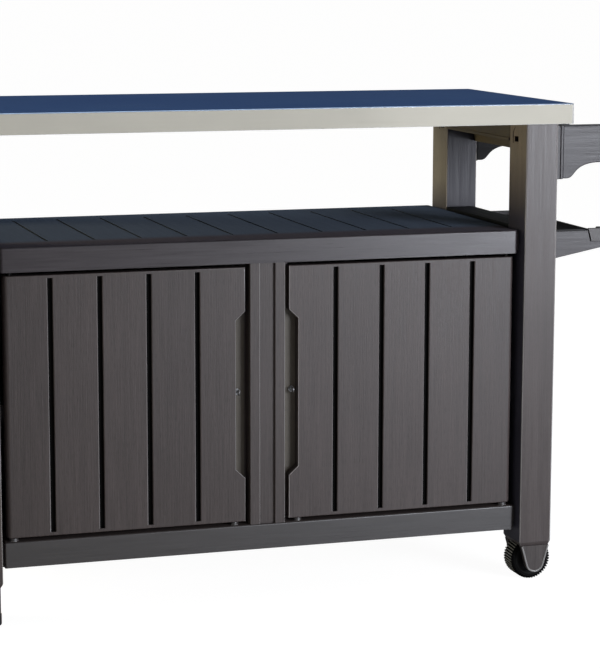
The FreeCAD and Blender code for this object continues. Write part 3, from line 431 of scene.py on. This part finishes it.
rounded = 0.3
mostly = 0.5
straight = 0.95
groove_start = 0.001
groove_floor = 0.0045
for side, outward in (("left", -1), ("right", 1)):
    for end in ("front", "back"):
        name = "leg_%s_%s" % (side, end)
        leg = dress(name, leg_resin if end == "front" else back_leg_painted_shade_resin, painted_light_leg_sides[end], arris_painted_highlight)
        if side == "right":
            # The right legs' inner faces take the painted light and shade.
            mark(leg, painted_light_leg_sides[end], lambda centre, normal: normal.x < -straight)
        # The legs' rounded upright corners take a pale painted highlight.
        mark(leg, arris_painted_highlight, lambda centre, normal: abs(normal.y) > rounded and abs(normal.x) > rounded)
        soften(name, 0.0009)
    apron = dress("apron_" + side, cross_resin, apron_painted_light_resin)
    if side == "right":
        # The inner and lower faces of the right apron are painted paler and browner: painted light.
        mark(apron, apron_painted_light_resin, lambda centre, normal: normal.x < -mostly or normal.z < -mostly)
    soften("apron_" + side, 0.0006)
    for rail in ("upper", "lower"):
        beam = dress("side_rail_%s_%s" % (rail, side), cross_resin, rail_top_painted_shade_resin)
        # Their tops and inner faces take the painted shade.
        mark(beam, rail_top_painted_shade_resin, lambda centre, normal: normal.z > mostly or -outward * normal.x > mostly)
    panel = dress("side_panel_" + side, upright_resin, groove_painted_shade_resin)
    panel_low, panel_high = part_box("side_panel_" + side)
    face_x = panel_high.x if side == "right" else panel_low.x
    # The panel's grooves take the painted shade.
    mark(panel, groove_painted_shade_resin, lambda centre, normal: outward * normal.x > -mostly
         and groove_start < outward * (face_x - centre.x) < groove_floor)
    soften("side_panel_" + side, 0.0008)


# Cabinet shell.
# One moulding is the open shelf with its deep lip, and one is the floor with its front rail. The shelf is
# grooved into planks. A bluish tone and a blue sheen on its boards are a painted reflection of a dark blue
# sky, which fades out into a browner band at its front edge.
shelf_plank = 0.085
shelf_plank_start = -0.0985
band_start = -0.165
band_end = -0.130
level_resin = grained_resin("level_resin", "X", (0.051, 0.043, 0.047), rough=0.33, print_depth=0.5)
# The boards' bluish tone and blue sheen are a painted sky reflection; towards the front they fade to the
# browner band.
shelf_resin = grained_resin("shelf_resin", "Y", (0.033, 0.041, 0.053), 0.60, shelf_plank, shelf_plank_start,
                            print_depth=0.7, fade=((0.034, 0.031, 0.034), "Y", band_start, band_end),
                            painted_sheen=(0.175, (0.30, 0.39, 0.56), (0.28, 0.26, 0.32)), shine=0.0)
# The plank grooves are painted paler and bluer than the boards, as painted light and reflection, so that
# their shade hardly shows.
shelf_line = grained_resin("shelf_line", "Y", (0.050, 0.060, 0.075), rough=0.6, shine=0.1)
rail_resin = grained_resin("rail_resin", "X", (0.030, 0.025, 0.025), rough=0.42, print_depth=0.5, shine=1.0)

shelf_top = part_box("cabinet_top")[1].z
board_face = shelf_top - 0.0004
line_floor = shelf_top - 0.0015
tolerance = 0.0001
upright = 0.9
shelf = dress("cabinet_top", level_resin, shelf_resin, shelf_line)
mark(shelf, shelf_resin, lambda centre, normal: centre.z > board_face and normal.z > upright)
mark(shelf, shelf_line, lambda centre, normal: abs(centre.z - line_floor) < tolerance
     or line_floor - tolerance < centre.z < board_face and abs(normal.x) > upright)

floor_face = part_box("cabinet_floor")[1].z - 0.003
floor_board = dress("cabinet_floor", rail_resin, upright_resin)
mark(floor_board, upright_resin, lambda centre, normal: normal.z > upright and centre.z < floor_face)
# The floor's rounded arrises take the pale painted highlight.
soften("cabinet_floor", 0.0008, arris_painted_highlight)

lit_edge = 0.25
post = dress("centre_post", upright_resin, arris_painted_highlight)
# The post's faces that turn towards the right lamp take a pale painted highlight.
mark(post, arris_painted_highlight, lambda centre, normal: normal.x > lit_edge and normal.y < -lit_edge)
dress("back_panel", upright_resin)
dress("interior_shelf", level_resin)
dress("shelf_cleats", level_resin)
soften("interior_shelf", 0.0012)


# Doors.
# Each leaf is one moulding of five planks with rounded arrises and deep grooves between them. The grooves
# are painted black as painted shade, and the arrises carry pale painted highlights. An inner skin closes
# it, steel pins hang it, and a plated padlock eye stands in the finger notch.
plank_pitch = 0.08824
pitches_to_start = 6
# The left door's planks are painted a little darker than the right door's: painted shade.
plank_tones = {"left": (0.062, 0.048, 0.045), "right": (0.068, 0.053, 0.050)}
blackened = brushed_steel("blackened_steel", (0.015, 0.014, 0.014), (0.08, 0.08, 0.08), 0.55, "Z")
# Pale painted highlights on the planks' rounded arrises and on the right door's notch edges.
plank_painted_highlight = grained_resin("plank_painted_highlight", "Z", (0.20, 0.185, 0.18), rough=0.30, print_depth=0.3)
notch_painted_highlight = grained_resin("notch_painted_highlight", "Z", (0.42, 0.39, 0.38), rough=0.30, print_depth=0.3)
# The inner skin is painted paler, so that its strips in the finger notches look lit: painted light.
door_back_painted_light_resin = grained_resin("door_back_painted_light_resin", "Z", (0.118, 0.101, 0.080), rough=0.5)
stile = 0.060
hinge_edge = 0.009
notch_edge = 0.030
groove_front, groove_back = 0.0021, 0.0087
groove_end = 0.004
turned = 0.2


def on_front_arris(normal):
    """Whether a face belongs to the rounding between a plank's front and its sides."""
    return -0.97 < normal.y < -turned


for side in ("left", "right"):
    leaf_low, leaf_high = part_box("door_front_" + side)
    if side == "right":
        plank_start = leaf_low.x
        lit_end = leaf_high.x - hinge_edge
    else:
        plank_start = leaf_high.x - pitches_to_start * plank_pitch
        lit_end = leaf_high.x
    planks = grained_resin("plank_resin_" + side, "Z", plank_tones[side], 0.44, plank_pitch, plank_start,
                           print_depth=1.2)
    leaf = dress("door_front_" + side, planks, groove_painted_shade_resin, plank_painted_highlight, notch_painted_highlight)
    # The arrises that face the right lamp take a painted highlight.
    mark(leaf, plank_painted_highlight, lambda centre, normal: on_front_arris(normal) and normal.x > turned
         and leaf_low.x + stile < centre.x < lit_end)
    if side == "right":
        # On the right door, the notch's left-facing arrises take a brighter painted highlight.
        mark(leaf, notch_painted_highlight, lambda centre, normal: on_front_arris(normal) and normal.x < -turned
             and centre.x < leaf_low.x + notch_edge)
    # The faces inside the grooves take the painted shade.
    mark(leaf, groove_painted_shade_resin, lambda centre, normal: leaf_low.x + stile < centre.x < leaf_high.x - stile
         and leaf_low.y + groove_front < centre.y < leaf_low.y + groove_back
         and leaf_low.z + groove_end < centre.z < leaf_high.z - groove_end)
    soften("door_front_" + side, 0.0006)
    dress("door_back_" + side, door_back_painted_light_resin)
    dress("door_screws_" + side, plated)
    dress("hinge_pins_" + side, blackened)
    dress("lock_eye_" + side, plated)


# Wheels.
# Hard black treads with close cross ribs on dished hubs, between the two tongues of a cap in the leg's
# end. The rib crests carry a pale painted highlight, and a rounded rim with a pale painted highlight runs
# round each tongue.
tread_black = grained_resin("tread_black", "Y", (0.002, 0.002, 0.002), rough=0.5, shine=0.1)
# Pale, on the rib crests: a painted highlight.
rib_painted_highlight = grained_resin("rib_painted_highlight", "Y", (0.55, 0.54, 0.46), rough=0.35, print_depth=0.5)
hub_black = grained_resin("hub_black", "Z", (0.006, 0.006, 0.006), rough=0.40, shine=0.2)
cap_resin = grained_resin("cap_resin", "Z", (0.062, 0.051, 0.048), rough=0.42)
# Pale, on the rounded rims round the tongues: a painted highlight.
rim_painted_highlight = grained_resin("rim_painted_highlight", "Z", (0.30, 0.29, 0.28), rough=0.24)


def ribbed_tread(name, replaced, body):
    """A tread ring on the node's own axis, with cross ribs cut right out to its shoulders.

    Each row of the ring has its place across the tread, its radius and its share of the grooves' depth.
    Places round the ring are shares of a rib's pitch: the groove's two ends, and where the painted
    highlight ends.
    """
    ribs = 46
    steps_per_rib = 8
    groove_start, groove_end = 0.62, 0.96
    highlight_end = 0.42
    highlight_rows = (3, 6)
    groove_depth = 0.0026
    slant = 0.04
    bore = 0.030
    shoulder = 0.0022
    low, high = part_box(replaced)
    centre = (low + high) / 2
    outer = (high.z - low.z) / 2
    half = (high.y - low.y) / 2
    rows = [(-half, outer - 2 * shoulder, 0.6), (-half + 0.4 * shoulder, outer - 0.8 * shoulder, 1.0),
            (-half + shoulder, outer, 1.0)]
    rows += [(-half * 0.5, outer, 1.0), (0.0, outer, 1.0), (half * 0.5, outer, 1.0)]
    rows += [(-y, radius, cut) for y, radius, cut in reversed(rows[:3])]
    count = ribs * steps_per_rib
    mesh = bmesh.new()
    rings = []
    for y, radius, cut in [(-half, bore, 0.0)] + rows + [(half, bore, 0.0)]:
        ring = []
        for k in range(count):
            phase = (k / count * ribs) % 1.0
            groove = groove_depth * cut if groove_start <= phase < groove_end else 0.0
            angle = 2 * math.pi * (k / count + slant * y / (2 * math.pi * outer))
            ring.append(mesh.verts.new((centre.x + (radius - groove) * math.sin(angle), centre.y + y,
                                        centre.z + (radius - groove) * math.cos(angle))))
        rings.append(ring)
    for row, (first, second) in enumerate(zip(rings, rings[1:] + rings[:1])):
        for k in range(count):
            n = (k + 1) % count
            face = mesh.faces.new((first[k], first[n], second[n], second[k]))
            on_rib = (k + 0.5) / count * ribs % 1.0 < highlight_end
            face.material_index = 1 if on_rib and highlight_rows[0] <= row <= highlight_rows[1] else 0
    bmesh.ops.recalc_face_normals(mesh, faces=mesh.faces)
    data = bpy.data.meshes.new(name)
    mesh.to_mesh(data)
    mesh.free()
    data.materials.append(tread_black)
    data.materials.append(rib_painted_highlight)
    tread = bpy.data.objects.new(name, data)
    bpy.context.scene.collection.objects.link(tread)
    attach(tread, body)
    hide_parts(replaced)


def tongue_rim(name, cap, face_y, outward):
    """A rounded bead that follows the tapered, round-ended outline of a tongue on its outer face."""
    bead = 0.0019
    sunk = 0.25 * bead
    inset = 0.0018
    top_z = 0.069
    start_z = top_z - 0.001
    half_top = 0.028 - inset
    end_z = 0.0354
    end_radius = 0.018 - inset
    arc_steps = 24
    low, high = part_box(cap)
    middle = (low.x + high.x) / 2
    taper = math.atan2(half_top, top_z - end_z)
    reach = math.hypot(half_top, top_z - end_z)
    touch = taper + math.acos(end_radius / reach) - math.pi / 2
    path = [Vector((half_top, 0, start_z))]
    for k in range(arc_steps + 1):
        angle = -touch - (math.pi - 2 * touch) * k / arc_steps
        path.append(Vector((end_radius * math.cos(angle), 0, end_z + end_radius * math.sin(angle))))
    path.append(Vector((-half_top, 0, start_z)))
    curve = bpy.data.curves.new(name, "CURVE")
    curve.dimensions = "3D"
    curve.bevel_depth = bead
    curve.bevel_resolution = 4
    curve.use_fill_caps = True
    line = curve.splines.new("POLY")
    line.points.add(len(path) - 1)
    for point, place in zip(line.points, path):
        point.co = (middle + place.x, face_y - outward * sunk, place.z, 1)
    holder = bpy.data.objects.new(name + "_line", curve)
    bpy.context.scene.collection.objects.link(holder)
    data = bpy.data.meshes.new_from_object(holder.evaluated_get(bpy.context.evaluated_depsgraph_get()))
    bpy.data.objects.remove(holder)
    data.name = name
    data.materials.clear()
    data.materials.append(rim_painted_highlight)
    for face in data.polygons:
        face.use_smooth = True
    rim = bpy.data.objects.new(name, data)
    bpy.context.scene.collection.objects.link(rim)
    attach(rim, "cart")


for end in ("front", "back"):
    ribbed_tread("tread_" + end, "tyre_" + end, "wheel_" + end)
    dress("wheel_hub_" + end, hub_black)
    dress("axle_" + end, plated)
    dress("fork_cap_" + end, cap_resin)
    cap_low, cap_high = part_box("fork_cap_" + end)
    tongue_rim("tongue_rim_front_of_" + end, "fork_cap_" + end, cap_low.y, -1)
    tongue_rim("tongue_rim_back_of_" + end, "fork_cap_" + end, cap_high.y, 1)


# Feet.
# Moulded plugs in the ends of the left legs, each with a soft black pad pressed on below. The pad is a
# little wider than its stem.
pad_rubber = grained_resin("pad_rubber", "Z", (0.012, 0.012, 0.013), rough=0.6)
for end in ("front", "back"):
    dress("foot_cap_" + end, cap_resin)
    dress("foot_pad_" + end, pad_rubber)


# Handle.
# Two moulded arms with an S-curve below, bolted from inside the right legs through collared sockets, and
# a smooth tube that drops into slots in their ends and lifts out to take a roll.
arm_resin = grained_resin("arm_resin", "X", (0.048, 0.043, 0.046), rough=0.40, print_depth=0.6, shine=0.34)
# The back arm is painted nearly black: painted shade.
back_arm_painted_shade_resin = grained_resin("back_arm_painted_shade_resin", "X", (0.008, 0.0075, 0.008), rough=0.5, print_depth=0.6,
                               shine=0.12)
bar_resin = grained_resin("bar_resin", "Y", (0.055, 0.050, 0.050), rough=0.32, print_depth=0.3)
for end, resin in (("front", arm_resin), ("back", back_arm_painted_shade_resin)):
    dress("handle_arm_" + end, resin)
    dress("arm_socket_" + end, resin)
dress("arm_bolts", plated)
dress("towel_bar", bar_resin)
dress("bar_end_plugs", cap_resin)


# Side tray.
# A flat moulded tray between two tapered brackets, which are screwed to the right legs. A rail in their
# notches closes it on the outside, and two round pegs pin the rail down.
bracket_resin = grained_resin("bracket_resin", "X", (0.057, 0.051, 0.054), rough=0.40, print_depth=0.6,
                              shine=0.36)
for end in ("front", "back"):
    dress("tray_bracket_" + end, bracket_resin)
dress("tray_floor", cross_resin)
dress("tray_rail", cross_resin)
dress("tray_rail_pegs", cap_resin)
dress("tray_screws", plated)
soften("tray_floor", 0.0006)
